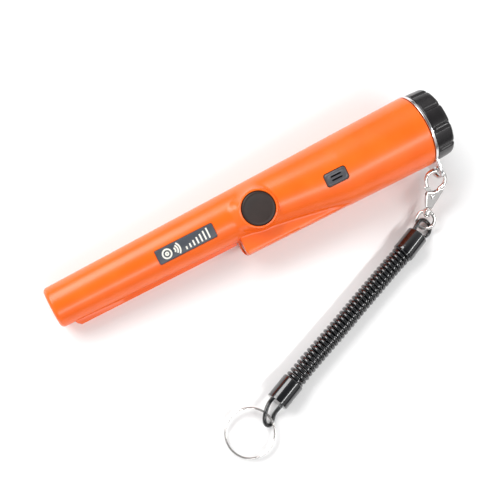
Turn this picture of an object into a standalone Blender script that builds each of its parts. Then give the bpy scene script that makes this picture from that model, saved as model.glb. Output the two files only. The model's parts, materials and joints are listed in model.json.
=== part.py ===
"""Handheld pinpointer probe for metal detecting, with its clip-on coiled lanyard.

The probe lies on a floor as it is put down: on the tip of its nose and on its grip. Its own
frame has X along the grip's axis, from the nose to the battery cap, Z out through the button
and -Y out through the keel. Lengths are in millimetres and are scaled to metres as the meshes
are made. The floor is Z = 0 in world space.
"""

import math

import bmesh
import bpy
from mathutils import Matrix, Vector

MM = 0.001
SIDES = 40  # sides of a large turned surface
FINE = 24  # sides of a small one

# Probe casing, in the probe's own frame
NOSE_RADIUS = 10.9
NOSE_FILLET = 2.2
NOSE_TAPER = 0.0225  # growth of the nose tube's radius along X
BLOCK_X = 101.0  # front of the lamp block, where the nose tube ends
FLARE_END_X = 164.0
BODY_END_X = 214.0
BACK_START = 15.6  # distance of the straight back line from the grip's axis at X = 0
BACK_TAPER = 0.0205
WALL = 2.2
REAR_ROUND = 0.8
KEEL_HALF = 8.0
BLADE_HALF = 1.25
LAMP_Y = -13.0
BLADE_START_X = 7.6
BLADE_FULL_X = 9.8

# How the probe lies, and the middle of the probe and clasp, which becomes the origin
REST_ROLL = math.radians(13.5)
MIDDLE = (113.5, -15.0)

# Button, in its own frame: Z out of the casing from the boss's rim
BUTTON_POS = (115.0, 3.7, 15.6)
BUTTON_TILT = math.radians(4)
BUTTON_RADIUS = 8.75
BOSS_RADIUS = 10.2
BOSS_FOOT_RADIUS = 13.0
BUTTON_FLOOR = -3.0  # top of the plate under the button

# Speaker insert and label
SPEAKER_POS = (158.3, 0.2, 18.3)
SPEAKER_TILT = math.radians(6)
SPEAKER_SIZE = (12.2, 6.9)
LABEL_X = (57.9, 90.3)
LABEL_HALF_ANGLE = math.radians(17.5)

# Neck, thread and cap
NECK_BORE = 15.4
NECK_RADIUS = 16.9
NECK_END_X = 222.2
PITCH = 3.0
NECK_CREST = 17.8
CAP_CREST = 17.2
CAP_BORE = 18.1
THREAD_TURNS = 1.25
CAP_START_X = 216.1
CAP_END_X = 226.9
CAP_RADIUS = 19.6
CAP_GROOVES = 10
CAP_GROOVE_PHASE = math.radians(6)

# Lanyard collar
COLLAR_X = (214.3, 215.7)
COLLAR_RADIUS = 20.2
TAB_ANGLE = math.radians(8)  # of the tab above -Y
TAB_HOLE_RADIUS = 3.0
TAB_HOLE_DISTANCE = 24.6

# Clasp, in its own frame: the hook's top wire at the origin, -Y towards the swivel
CLASP_AXIS = Vector((-0.50, -0.695, -0.50)).normalized()  # world
HOOK_RADIUS = 5.3
HOOK_WIRE = 1.25
HOOK_OFFSET = 0.45  # from the middle of the tab, along the probe
GATE_PIVOT = (0.4, -14.4)
NOSE_REACH = 12.5  # from the gate's pin to the end of the hook's nose
SWIVEL_ROLL = math.radians(14)
EYE_CENTRE_Y = -28.4
EYE_RADIUS = 5.0
EYE_WIRE = 1.0

# Cord and its fittings, measured on the floor from below the probe's nose
LANYARD_PIVOT = (201.5, -44.9, 4.0)  # where the upper loop bears on the swivel's eye
CORD_RADIUS = 1.1
COIL_RADIUS = 5.5
FERRULE_RADIUS = 6.1
UPPER_FERRULE = ((192.2, -49.6, 6.2), (179.5, -54.7, 6.2))
LOWER_FERRULE = ((92.6, -86.2, 6.2), (79.4, -91.4, 6.2))
COIL_ROUTE = (
    (179.0, -54.9, 5.65),
    (168.2, -58.6, 5.65),
    (155.6, -63.2, 5.65),
    (142.9, -67.8, 5.65),
    (130.6, -72.4, 5.65),
    (118.2, -76.8, 5.65),
    (105.8, -81.2, 5.65),
    (93.1, -86.0, 5.65),
)
UPPER_LOOP = (
    (189.0, -47.75, 5.4),
    (191.6, -46.7, 5.5),
    (193.6, -45.3, 5.7),
    (196.6, -43.7, 5.5),
    (199.7, -43.5, 4.3),
    (202.0, -45.4, 2.7),
    (202.7, -48.8, 1.35),
    (200.4, -51.7, 1.35),
    (197.0, -52.4, 3.6),
    (193.9, -52.2, 5.2),
    (191.2, -53.2, 5.4),
)
LOWER_LOOP = (
    (80.8, -87.8, 5.4),
    (77.8, -88.9, 5.7),
    (74.9, -90.2, 6.6),
    (72.0, -92.6, 7.0),
    (69.6, -95.8, 6.0),
    (69.3, -98.9, 3.5),
    (71.3, -100.3, 1.6),
    (73.6, -98.9, 1.2),
    (75.8, -96.6, 1.6),
    (78.2, -95.1, 4.0),
    (80.3, -94.2, 5.2),
    (83.0, -93.2, 5.4),
)
RING_HINGE = (72.5, -96.0, 3.75)  # the ring's raised side, inside the lower loop
RING_DIRECTION = math.radians(12)  # from the ring's centre to there
RING_TILT = math.radians(4.0)
RING_TURNS = 1.92
RING_RADIUS = 12.85
RING_WIRE = 0.62
RING_PITCH = 1.35

# Battery and electronics
BATTERY_X = (172.5, 221.0)
BATTERY_HALF = (13.25, 8.75)
BOARD = ((66.0, -4.1, 3.2), (150.0, 12.9, 4.4))
TUBE_Y = 4.6  # the nose tube's axis
MOTOR_AXIS = (2.0, -3.5)


def back_line(x):
    return BACK_START + BACK_TAPER * x


def body_radius(x):
    """Radius of the casing's round section at x."""
    if x <= BLOCK_X:
        return NOSE_RADIUS + NOSE_TAPER * x
    if x >= FLARE_END_X:
        return back_line(x)
    start = NOSE_RADIUS + NOSE_TAPER * BLOCK_X
    part = (x - BLOCK_X) / (FLARE_END_X - BLOCK_X)
    return start + (back_line(FLARE_END_X) - start) * (0.75 * part + 0.25 * part * part)


def body_centre(x):
    """Y of the round section's centre: every section touches the straight back line."""
    return back_line(x) - body_radius(x)


# The probe's pitch and height follow from its two contacts with the floor.
FLAT = math.cos(math.pi / SIDES)  # a side's distance from the centre, over the radius


def lowest(x):
    return FLAT * body_radius(x) - body_centre(x) * math.sin(REST_ROLL)


REST_PITCH = math.atan((lowest(FLARE_END_X) - lowest(NOSE_FILLET)) / (FLARE_END_X - NOSE_FILLET))
REST_HEIGHT = lowest(NOSE_FILLET) * math.cos(REST_PITCH) - NOSE_FILLET * math.sin(REST_PITCH)


def clear_scene():
    for obj in list(bpy.data.objects):
        bpy.data.objects.remove(obj, do_unlink=True)


def new_collection(name):
    collection = bpy.data.collections.new(name)
    bpy.context.scene.collection.children.link(collection)
    return collection


clear_scene()
PARTS = new_collection("pinpointer_probe")
CUTTERS = new_collection("cutters")


def make_material(name, colour, roughness, metallic=0.0):
    material = bpy.data.materials.new(name)
    material.use_nodes = True
    shader = material.node_tree.nodes["Principled BSDF"]
    shader.inputs["Base Color"].default_value = (*colour, 1.0)
    shader.inputs["Roughness"].default_value = roughness
    shader.inputs["Metallic"].default_value = metallic
    material.diffuse_color = (*colour, 1.0)
    return material


MATERIALS = {
    "orange_abs": make_material("orange_abs", (0.95, 0.16, 0.02), 0.35),
    "black_abs": make_material("black_abs", (0.02, 0.02, 0.022), 0.35),
    "button_black": make_material("button_black", (0.025, 0.022, 0.022), 0.7),
    "grille_grey": make_material("grille_grey", (0.12, 0.12, 0.14), 0.5),
    "label_grey": make_material("label_grey", (0.08, 0.085, 0.1), 0.45),
    "clear_lens": make_material("clear_lens", (0.9, 0.92, 0.95), 0.05),
    "led_epoxy": make_material("led_epoxy", (0.95, 0.93, 0.85), 0.1),
    "steel": make_material("steel", (0.75, 0.75, 0.76), 0.25, 1.0),
    "chrome": make_material("chrome", (0.85, 0.85, 0.86), 0.08, 1.0),
    "cord_black": make_material("cord_black", (0.015, 0.015, 0.017), 0.3),
    "rubber": make_material("rubber", (0.02, 0.02, 0.02), 0.8),
    "foam": make_material("foam", (0.06, 0.06, 0.065), 0.95),
    "ferrite": make_material("ferrite", (0.08, 0.08, 0.085), 0.6),
    "copper": make_material("copper", (0.72, 0.3, 0.12), 0.35, 1.0),
    "former": make_material("former", (0.85, 0.83, 0.76), 0.5),
    "board": make_material("board", (0.02, 0.22, 0.08), 0.45),
    "chip": make_material("chip", (0.03, 0.03, 0.03), 0.5),
    "battery": make_material("battery", (0.1, 0.1, 0.12), 0.35),
    "red_wire": make_material("red_wire", (0.7, 0.03, 0.02), 0.4),
}


def empty(name, parent=None, location=(0, 0, 0), rotation=(0, 0, 0)):
    obj = bpy.data.objects.new(name, None)
    PARTS.objects.link(obj)
    obj.parent = parent
    obj.location = Vector(location) * MM
    obj.rotation_euler = rotation
    return obj


def place(obj, slot, parent, location=(0, 0, 0), rotation=(0, 0, 0)):
    """Puts a new object in its collection: a part where slot names its material, else a cutter."""
    obj.parent = parent
    obj.location = Vector(location) * MM
    obj.rotation_euler = rotation
    if slot:
        PARTS.objects.link(obj)
        obj.data.materials.append(MATERIALS[slot])
    else:
        CUTTERS.objects.link(obj)
        obj.hide_render = True
        obj.display_type = "WIRE"
    return obj


def mesh_object(name, bm, slot, parent, location=(0, 0, 0), rotation=(0, 0, 0), smooth=True):
    mesh = bpy.data.meshes.new(name)
    bmesh.ops.recalc_face_normals(bm, faces=bm.faces)
    bm.to_mesh(mesh)
    bm.free()
    if smooth:
        mesh.shade_smooth()
        mesh.set_sharp_from_angle(angle=math.radians(35))
    return place(bpy.data.objects.new(name, mesh), slot, parent, location, rotation)


def loft(name, rings, slot, parent):
    """A closed solid through rings of equally many points, with flat ends."""
    bm = bmesh.new()
    loops = [[bm.verts.new(Vector(p) * MM) for p in ring] for ring in rings]
    for one, two in zip(loops, loops[1:]):
        for i in range(len(one)):
            j = (i + 1) % len(one)
            bm.faces.new((one[i], one[j], two[j], two[i]))
    bm.faces.new(loops[0])
    bm.faces.new(loops[-1])
    return mesh_object(name, bm, slot, parent)


def circle(x, centre_y, radius, sides=SIDES):
    turn = 2 * math.pi / sides
    return [
        (x, centre_y + radius * math.cos(i * turn), radius * math.sin(i * turn))
        for i in range(sides)
    ]


def turned(name, profile, slot, parent, location=(0, 0, 0), rotation=(0, 0, 0), ring=False, sides=SIDES):
    """A profile of (radius, height) points, outer side downwards, turned about Z."""
    mesh = bpy.data.meshes.new(name)
    points = [(r * MM, 0, z * MM) for r, z in profile]
    edges = [(i, i + 1) for i in range(len(points) - 1)]
    if ring:
        edges.append((len(points) - 1, 0))
    mesh.from_pydata(points, edges, [])
    obj = place(bpy.data.objects.new(name, mesh), slot, parent, location, rotation)
    screw = obj.modifiers.new("turn", "SCREW")
    screw.steps = screw.render_steps = sides
    screw.use_merge_vertices = True
    screw.merge_threshold = 0.00001
    screw.use_smooth_shade = True
    return obj


ALONG_X = (0, math.pi / 2, 0)  # turns an object's Z into its parent's X


def rod(name, radius, low, high, slot, parent, location=(0, 0, 0), rotation=ALONG_X, sides=FINE):
    """A plain cylinder from low to high along its own Z."""
    profile = [(0, high), (radius, high), (radius, low), (0, low)]
    return turned(name, profile, slot, parent, location, rotation, sides=sides)


def sleeve(name, inner, outer, low, high, slot, parent, location=(0, 0, 0), rotation=ALONG_X, sides=FINE):
    profile = [(inner, high), (outer, high), (outer, low), (inner, low)]
    return turned(name, profile, slot, parent, location, rotation, ring=True, sides=sides)


def block(name, low, high, slot, parent, bevel=0.0, location=(0, 0, 0), rotation=(0, 0, 0)):
    """A box between two corners, with rounded edges where bevel is given."""
    low, high = Vector(low) * MM, Vector(high) * MM
    bm = bmesh.new()
    fit = Matrix.Translation((low + high) / 2) @ Matrix.Diagonal((*(high - low), 1))
    bmesh.ops.create_cube(bm, size=1, matrix=fit)
    obj = mesh_object(name, bm, slot, parent, location, rotation)
    if bevel:
        rounding = obj.modifiers.new("rounding", "BEVEL")
        rounding.width = bevel * MM
        rounding.segments = 2
    return obj


def smooth_route(points, step):
    """Points about step apart on a smooth curve through the given ones."""
    given = [Vector(p) for p in points]
    given = [2 * given[0] - given[1], *given, 2 * given[-1] - given[-2]]
    route = []
    for a, b, c, d in zip(given, given[1:], given[2:], given[3:]):
        count = max(1, round((c - b).length / step))
        for i in range(count):
            t = i / count
            route.append(
                0.5 * (2 * b + (c - a) * t + (2 * a - 5 * b + 4 * c - d) * t**2 + (3 * b - a - 3 * c + d) * t**3)
            )
    route.append(given[-2])
    return route


def wire(name, points, radius, slot, parent, location=(0, 0, 0), closed=False, resolution=2):
    """A round wire or cord along points."""
    curve = bpy.data.curves.new(name, "CURVE")
    curve.dimensions = "3D"
    curve.bevel_depth = radius * MM
    curve.bevel_resolution = resolution
    curve.use_fill_caps = True
    spline = curve.splines.new("POLY")
    spline.points.add(len(points) - 1)
    for target, point in zip(spline.points, points):
        target.co = (*(Vector(point) * MM), 1)
    spline.use_cyclic_u = closed
    spline.use_smooth = True
    return place(bpy.data.objects.new(name, curve), slot, parent, location)


def plate(name, outlines, half, slot, parent, location=(0, 0, 0), rotation=(0, 0, 0)):
    """A flat plate of twice half's thickness: the first outline, less the others."""
    curve = bpy.data.curves.new(name, "CURVE")
    curve.dimensions = "2D"
    curve.fill_mode = "BOTH"
    curve.extrude = half * MM
    for outline in outlines:
        spline = curve.splines.new("POLY")
        spline.points.add(len(outline) - 1)
        for target, (x, y) in zip(spline.points, outline):
            target.co = (x * MM, y * MM, 0, 1)
        spline.use_cyclic_u = True
    return place(bpy.data.objects.new(name, curve), slot, parent, location, rotation)


def to_mesh(obj):
    """A curve made a mesh object of the same name and place, with its caps welded on."""
    bpy.context.view_layer.update()
    evaluated = obj.evaluated_get(bpy.context.evaluated_depsgraph_get())
    mesh = bpy.data.meshes.new_from_object(evaluated)
    bm = bmesh.new()
    bm.from_mesh(mesh)
    bmesh.ops.remove_doubles(bm, verts=bm.verts, dist=0.000001)
    bmesh.ops.recalc_face_normals(bm, faces=bm.faces)
    bm.to_mesh(mesh)
    bm.free()
    name, home = obj.name, obj.users_collection[0]
    hidden, shown_as = obj.hide_render, obj.display_type
    parent, inverse, basis = obj.parent, obj.matrix_parent_inverse.copy(), obj.matrix_basis.copy()
    bpy.data.objects.remove(obj)
    made = bpy.data.objects.new(name, mesh)
    home.objects.link(made)
    made.parent = parent
    made.matrix_parent_inverse = inverse
    made.matrix_basis = basis
    made.hide_render = hidden
    made.display_type = shown_as
    return made


def boolean(obj, other, operation):
    modifier = obj.modifiers.new(f"{operation.lower()}_{other.name}", "BOOLEAN")
    modifier.object = other
    modifier.operation = operation
    modifier.solver = "EXACT"


def add(obj, *others):
    for other in others:
        boolean(obj, other, "UNION")


def cut(obj, *others):
    for other in others:
        boolean(obj, other, "DIFFERENCE")


def thread(name, wall, crest, start, parent):
    """One right-hand thread ridge as a solid, from just inside the wall radius to the crest radius."""
    root = wall + math.copysign(0.35, wall - crest)
    foot, top = 0.7, 0.3
    profile = [(root, foot), (crest, top), (crest, -top), (root, -foot)]
    if crest < wall:
        profile.reverse()
    obj = turned(name, profile, None, parent, (start, 0, 0), ALONG_X, ring=True)
    screw = obj.modifiers["turn"]
    screw.angle = 2 * math.pi * THREAD_TURNS
    screw.screw_offset = PITCH * THREAD_TURNS * MM
    screw.steps = screw.render_steps = round(SIDES * THREAD_TURNS)
    screw.use_merge_vertices = False
    made = to_mesh(obj)
    bm = bmesh.new()
    bm.from_mesh(made.data)
    bmesh.ops.holes_fill(bm, edges=[e for e in bm.edges if e.is_boundary])
    bmesh.ops.recalc_face_normals(bm, faces=bm.faces)
    bm.to_mesh(made.data)
    bm.free()
    return made


# ---------------------------------------------------------------- frames

floor = empty("floor_frame", None, (-MIDDLE[0], -MIDDLE[1], 0))
probe = empty("probe_axis", floor, (0, 0, REST_HEIGHT), (REST_ROLL, -REST_PITCH, 0))
button_axis = empty("button_axis", probe, BUTTON_POS, (0, -BUTTON_TILT, 0))
speaker_axis = empty("speaker_axis", probe, SPEAKER_POS, (0, -SPEAKER_TILT, 0))
lanyard_axis = empty("lanyard_axis", floor, LANYARD_PIVOT)
bpy.context.view_layer.update()


def clasp_frame():
    """Empty whose X is level across the clasp, -Y runs down it and Z faces up."""
    reach = Vector((0, -math.cos(TAB_ANGLE), math.sin(TAB_ANGLE))) * TAB_HOLE_DISTANCE
    hook = Vector((sum(COLLAR_X) / 2 + HOOK_OFFSET, 0, 0)) + reach
    origin = probe.matrix_local @ (hook * MM)
    across = CLASP_AXIS.cross(Vector((0, 0, 1))).normalized()
    if across.x < 0:
        across.negate()
    up = across.cross(-CLASP_AXIS)
    turn = Matrix((across, -CLASP_AXIS, up)).transposed()
    return empty("clasp_frame", floor, origin / MM, turn.to_euler())


clasp = clasp_frame()
gate_axis = empty("gate_axis", clasp, (*GATE_PIVOT, 0))
eye_axis = empty("eye_axis", clasp, (0, 0, 0), (0, -SWIVEL_ROLL, 0))


# ---------------------------------------------------------------- casing


def nose_sections():
    """(x, radius) of the rounded front edge."""
    for i in range(5):
        turn = math.radians(22.5 * i)
        x = NOSE_FILLET * (1 - math.cos(turn))
        yield x, body_radius(x) - NOSE_FILLET * (1 - math.sin(turn))


def casing_block():
    """The casing's round outside as one solid."""
    sections = list(nose_sections())
    flare = [BLOCK_X + (FLARE_END_X - BLOCK_X) * i / 5 for i in range(6)]
    sections += [(x, body_radius(x)) for x in (*flare, BODY_END_X - REAR_ROUND)]
    end = body_radius(BODY_END_X)
    sections += [(BODY_END_X - 0.23, end - 0.23), (BODY_END_X, end - REAR_ROUND)]
    rings = [circle(x, body_centre(x), r) for x, r in sections]
    return loft("body_shell", rings, "orange_abs", probe)


def keel():
    """Lamp block and the keel behind it: a slice of the grip's cone that fades into the flare."""

    def section(x, radius, half):
        reach = math.asin(half / radius)
        arc = [reach * (1 - 2 * i / 8) for i in range(9)]
        rim = [(x, -radius * math.cos(a), radius * math.sin(a)) for a in arc]
        return [(x, 2.0, half), *rim, (x, 2.0, -half)]

    faces = (
        (BLOCK_X, back_line(BLOCK_X) - 0.9, KEEL_HALF - 0.7),
        (BLOCK_X + 0.35, back_line(BLOCK_X) - 0.3, KEEL_HALF - 0.25),
        (BLOCK_X + 1.2, back_line(BLOCK_X), KEEL_HALF),
        (150.0, back_line(150.0) - 0.1, KEEL_HALF),
        (174.0, back_line(174.0) - 1.2, KEEL_HALF),
    )
    return loft("keel", [section(*face) for face in faces], None, probe)


def blade():
    """Scraper fin along the underside of the nose, from near the tip to the lamp block."""
    outline = [
        (BLADE_START_X, -5.4),
        (BLADE_FULL_X, -9.15),
        (BLADE_FULL_X + 0.8, -9.3),
        (BLOCK_X + 0.8, -10.2),
        (BLOCK_X + 0.8, -4.0),
        (BLADE_START_X, -4.0),
    ]
    return to_mesh(plate("blade", [outline], BLADE_HALF, None, probe))


def cavity():
    """Inside of the casing, open at the neck."""
    xs = [2.6, BLOCK_X, *(BLOCK_X + (FLARE_END_X - BLOCK_X) * i / 5 for i in range(1, 6)), 206.0]
    rings = [circle(x, body_centre(x), body_radius(x) - WALL) for x in xs]
    rings += [circle(209.5, 0, NECK_BORE), circle(NECK_END_X + 1, 0, NECK_BORE)]
    return loft("cavity", rings, None, probe)


def label_patch(name, slot, inside, outside, margin):
    """A patch of the nose tube's surface, thickened from inside to outside of its radius."""
    columns, rows = 9, 5
    first, last = LABEL_X[0] - margin, LABEL_X[1] + margin
    bm = bmesh.new()
    grid = []
    for i in range(columns):
        x = first + (last - first) * i / (columns - 1)
        radius = body_radius(x) + outside
        reach = LABEL_HALF_ANGLE + margin / radius
        line = []
        for j in range(rows):
            turn = reach * (2 * j / (rows - 1) - 1)
            point = (x, body_centre(x) - 0.4 + radius * math.sin(turn), radius * math.cos(turn))
            line.append(bm.verts.new(Vector(point) * MM))
        grid.append(line)
    for one, two in zip(grid, grid[1:]):
        for j in range(rows - 1):
            bm.faces.new((one[j], two[j], two[j + 1], one[j + 1]))
    obj = mesh_object(name, bm, slot, probe)
    shell = obj.modifiers.new("thickness", "SOLIDIFY")
    shell.thickness = (outside - inside) * MM
    shell.offset = -1 if obj.data.polygons[0].normal.z > 0 else 1
    return obj


def body_shell():
    shell = casing_block()
    boss = turned(
        "boss",
        [(0, 0), (BOSS_RADIUS, 0), (BOSS_FOOT_RADIUS, -6.6), (0, -6.6)],
        None,
        button_axis,
    )
    neck = rod("neck", NECK_RADIUS, 205.0, NECK_END_X, None, probe, sides=SIDES)
    add(shell, keel(), blade(), boss, neck)
    add(shell, thread("neck_thread", NECK_RADIUS, NECK_CREST, 217.3, probe))
    cut(shell, cavity())
    floor_plate = rod("button_floor", 10.0, -5.0, BUTTON_FLOOR, None, button_axis, rotation=(0, 0, 0), sides=SIDES)
    pocket = rod("button_pocket", BUTTON_RADIUS + 0.3, BUTTON_FLOOR, 2.0, None, button_axis, rotation=(0, 0, 0), sides=SIDES)
    stem_hole = rod("stem_hole", 3.0, -6.0, 2.5, None, button_axis, rotation=(0, 0, 0))
    add(shell, floor_plate)
    cut(shell, pocket, stem_hole)
    half_x, half_y = SPEAKER_SIZE[0] / 2 + 0.3, SPEAKER_SIZE[1] / 2 + 0.3
    window = block("speaker_window", (-half_x, -half_y, -5.5), (half_x, half_y, 4.0), None, speaker_axis)
    cut(shell, window, label_patch("label_recess", None, -0.55, 1.5, 0.3))
    seat_end = BLOCK_X + 1.6
    lamp_bore = [(0, 107.0), (2.75, 107.0), (2.75, seat_end), (4.1, seat_end), (4.1, 99.0), (0, 99.0)]
    lamp_seat = turned("lamp_seat", lamp_bore, None, probe, (0, LAMP_Y, 0), ALONG_X, sides=FINE)
    lamp_pocket = block("lamp_pocket", (104.5, LAMP_Y - 3.2, -5.2), (124.0, -3.0, 5.2), None, probe)
    cut(shell, lamp_seat, lamp_pocket)
    return shell


def casing_fittings():
    label_patch("label_plate", "label_grey", -0.25, 0.12, 0.0)
    grille = block(
        "speaker_grille",
        (-SPEAKER_SIZE[0] / 2, -SPEAKER_SIZE[1] / 2, -2.4),
        (SPEAKER_SIZE[0] / 2, SPEAKER_SIZE[1] / 2, 0.9),
        "grille_grey",
        speaker_axis,
        bevel=0.7,
    )
    for side in (-1, 1):
        slot = block(f"grille_slot_{side + 1}", (-3.0, side * 1.05 - 0.42, -4), (3.0, side * 1.05 + 0.42, 3), None, speaker_axis)
        cut(grille, slot)
    rod("led_lens", 3.8, BLOCK_X + 0.15, BLOCK_X + 1.35, "clear_lens", probe, (0, LAMP_Y, 0))
    lamp = [(0, 111.0), (2.9, 111.0), (2.9, 110.0), (2.5, 110.0), (2.5, 105.3), (2.1, 103.9), (1.2, 103.1), (0, 102.8)]
    turned("led_lamp", lamp, "led_epoxy", probe, (0, LAMP_Y, 0), ALONG_X, sides=FINE)


def button_set():
    """The push button with its seal ring and the plunger that it presses."""
    top, groove = 0.5, BUTTON_RADIUS - 1.1
    profile = [
        (0, top),
        (BUTTON_RADIUS - 0.9, top),
        (BUTTON_RADIUS - 0.3, top - 0.15),
        (BUTTON_RADIUS, top - 0.5),
        (BUTTON_RADIUS, -0.3),
        (groove, -0.3),
        (groove, -1.7),
        (BUTTON_RADIUS, -1.7),
        (BUTTON_RADIUS, -2.0),
        (2.0, -2.0),
        (2.0, -6.5),
        (0, -6.5),
    ]
    turned("power_button", profile, "button_black", button_axis)
    seal = [(8.35 + 0.55 * math.cos(a), -1.0 + 0.55 * math.sin(a)) for a in (-math.pi / 4 * i for i in range(8))]
    turned("button_o_ring", seal, "rubber", button_axis, ring=True)
    rod("switch_plunger", 1.4, -8.6, -6.8, "former", button_axis, rotation=(0, 0, 0), sides=16)


# ---------------------------------------------------------------- electronics


def search_coils():
    """Ferrite rod with its former and two windings, in the nose."""
    at = (0, TUBE_Y, 0)
    rod("ferrite_core", 4.0, 5.0, 62.0, "ferrite", probe, at)
    profile = [(4.3, 60.0), (6.9, 60.0), (6.9, 58.8), (5.0, 58.8), (5.0, 35.6), (6.9, 35.6), (6.9, 34.4)]
    profile += [(5.0, 34.4), (5.0, 8.2), (6.9, 8.2), (6.9, 7.0), (4.3, 7.0)]
    turned("coil_former", profile, "former", probe, at, ALONG_X, ring=True, sides=FINE)
    sleeve("receive_winding", 5.3, 6.5, 8.5, 34.1, "copper", probe, at)
    sleeve("transmit_winding", 5.3, 6.5, 35.9, 58.5, "copper", probe, at)


def circuit():
    low, high = BOARD
    block("circuit_board", low, high, "board", probe)
    deck = high[2] + 0.3
    block("processor_chip", (80.0, 0.5, deck), (88.0, 8.5, deck + 1.4), "chip", probe, bevel=0.2)
    block("driver_chip", (94.0, 1.5, deck), (100.0, 7.5, deck + 1.4), "chip", probe, bevel=0.2)
    rod("smoothing_capacitor", 3.2, deck, deck + 5.5, "steel", probe, (134.0, 4.4, 0), (0, 0, 0))
    switch = block("tact_switch", (112.5, 0.7, deck), (118.5, 6.7, deck + 3.3), "chip", probe)
    cut(switch, rod("switch_bore", 1.95, deck + 0.6, deck + 6, None, probe, (115.5, 3.7, 0), (0, 0, 0), sides=16))


def vibration_motor():
    at = (0, *MOTOR_AXIS)
    can = rod("vibration_motor", 3.5, 132.0, 146.0, "steel", probe, at)
    cut(can, rod("shaft_hole", 0.9, 130.0, 136.0, None, probe, at, sides=12))
    shaft = rod("motor_weight", 0.5, 126.5, 135.0, "steel", probe, at, sides=12)
    hanging = [math.pi * (i / 10 - 0.5) - REST_ROLL for i in range(11)]
    half_disc = [(3.2 * math.cos(a), 3.2 * math.sin(a)) for a in hanging]
    back = [(1.4 * math.cos(a), 1.4 * math.sin(a)) for a in (hanging[-1] + 0.8, hanging[0] - 0.8)]
    weight = to_mesh(plate("weight_lobe", [half_disc + back], 1.8, None, probe, (128.8, *MOTOR_AXIS), ALONG_X))
    add(shaft, weight)


def sound():
    profile = [(0, 11.4), (3.0, 11.9), (5.6, 13.4), (6.4, 13.4), (6.4, 10.0), (0, 10.0)]
    turned("speaker", profile, "chip", probe, (158.0, 0.2, 0), sides=FINE)


def power():
    """Nine-volt battery in its tray, with the snap connector and its two leads."""
    half_y, half_z = BATTERY_HALF
    battery = block("battery_9v", (BATTERY_X[0], -half_y, -half_z), (BATTERY_X[1], half_y, half_z), "battery", probe, bevel=2.0)
    connector = block("snap_connector", (165.0, -12.5, -6.0), (171.9, 12.5, 6.0), "chip", probe, bevel=0.6)
    for y, radius in ((-6.35, 2.9), (6.35, 4.0)):
        stud = rod(f"stud_{radius:.0f}", radius, BATTERY_X[0] - 3.2, BATTERY_X[0] + 1, None, probe, (0, y, 0))
        socket = rod(f"socket_{radius:.0f}", radius + 0.4, 168.5, 174.0, None, probe, (0, y, 0))
        add(battery, stud)
        cut(connector, socket)
    tray = block("battery_tray", (163.0, -11.0, -10.3), (213.0, 11.0, -9.1), "former", probe)
    add(tray, block("tray_stop", (163.0, -11.0, -10.0), (164.4, 11.0, -1.0), None, probe))
    for name, slot, y in (("battery_lead_positive", "red_wire", 3.4), ("battery_lead_negative", "rubber", -3.4)):
        route = [(164.7, y, 2.6), (161.0, y, 2.4), (156.0, 4.4 + (y - 4.4) * 0.6, 3.4), (150.4, 4.4 + (y - 4.4) * 0.3, 3.8)]
        wire(name, smooth_route(route, 2.5), 0.6, slot, probe)


# ---------------------------------------------------------------- cap and collar


def battery_cap():
    """Screw cap with ten finger grooves and an inner thread."""
    inner = 224.0
    profile = [
        (0, CAP_END_X),
        (17.6, CAP_END_X),
        (18.7, CAP_END_X - 0.5),
        (19.2, CAP_END_X - 1.6),
        (CAP_RADIUS, CAP_START_X + 0.5),
        (CAP_RADIUS - 0.4, CAP_START_X),
        (CAP_BORE, CAP_START_X),
        (CAP_BORE, inner),
        (0, inner),
    ]
    cap = turned("battery_cap", profile, "black_abs", probe, rotation=ALONG_X)
    bm = bmesh.new()
    for i in range(CAP_GROOVES):
        turn = CAP_GROOVE_PHASE + 2 * math.pi * i / CAP_GROOVES
        centre = Vector(((CAP_START_X + CAP_END_X) / 2 + 1.0, -math.sin(turn) * 20.0, math.cos(turn) * 20.0)) * MM
        stand = Matrix.Translation(centre) @ Matrix.Rotation(math.pi / 2, 4, "Y")
        bmesh.ops.create_cone(
            bm, cap_ends=True, segments=10, radius1=1.0 * MM, radius2=1.0 * MM, depth=11.4 * MM, matrix=stand
        )
    cut(cap, mesh_object("cap_grooves", bm, None, probe))
    add(cap, thread("cap_thread", CAP_BORE, CAP_CREST, 217.3 + PITCH / 2, probe))
    ring = [(16.3 + 0.6 * math.cos(a), 223.1 + 0.6 * math.sin(a)) for a in (-math.pi / 4 * i for i in range(8))]
    turned("cap_o_ring", ring, "rubber", probe, rotation=ALONG_X, ring=True)
    rod("cap_pad", 12.0, 221.3, 223.7, "foam", probe)


def lanyard_collar():
    """Flat ring clamped under the cap, with a tab that the clasp hooks into."""
    half_width = 8.0
    meet = math.asin(half_width / COLLAR_RADIUS)
    steps = 36
    arc = [meet + (2 * math.pi - 2 * meet) * i / steps for i in range(steps + 1)]
    rim = [(COLLAR_RADIUS * math.cos(a), COLLAR_RADIUS * math.sin(a)) for a in arc]
    tab = [(24.0, -7.0), (26.6, -5.8), (28.2, -3.4), (28.7, 0.0), (28.2, 3.4), (26.6, 5.8), (24.0, 7.0)]
    bore = [(18.1 * math.cos(a), 18.1 * math.sin(a)) for a in (2 * math.pi * i / SIDES for i in range(SIDES))]
    hole = [
        (TAB_HOLE_DISTANCE + TAB_HOLE_RADIUS * math.cos(a), TAB_HOLE_RADIUS * math.sin(a))
        for a in (2 * math.pi * i / 16 for i in range(16))
    ]
    turn = -math.pi / 2 - TAB_ANGLE  # from the outline's +X to the tab's direction
    outlines = [
        [(x * math.cos(turn) - y * math.sin(turn), x * math.sin(turn) + y * math.cos(turn)) for x, y in outline]
        for outline in (rim + tab, bore, hole)
    ]
    middle = sum(COLLAR_X) / 2
    plate("lanyard_collar", outlines, (COLLAR_X[1] - COLLAR_X[0]) / 2, "steel", probe, (middle, 0, 0), ALONG_X)


# ---------------------------------------------------------------- clasp


def on_hook(degrees):
    turn = math.radians(degrees)
    return (HOOK_RADIUS * math.cos(turn), -HOOK_RADIUS + HOOK_RADIUS * math.sin(turn), 0)


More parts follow.
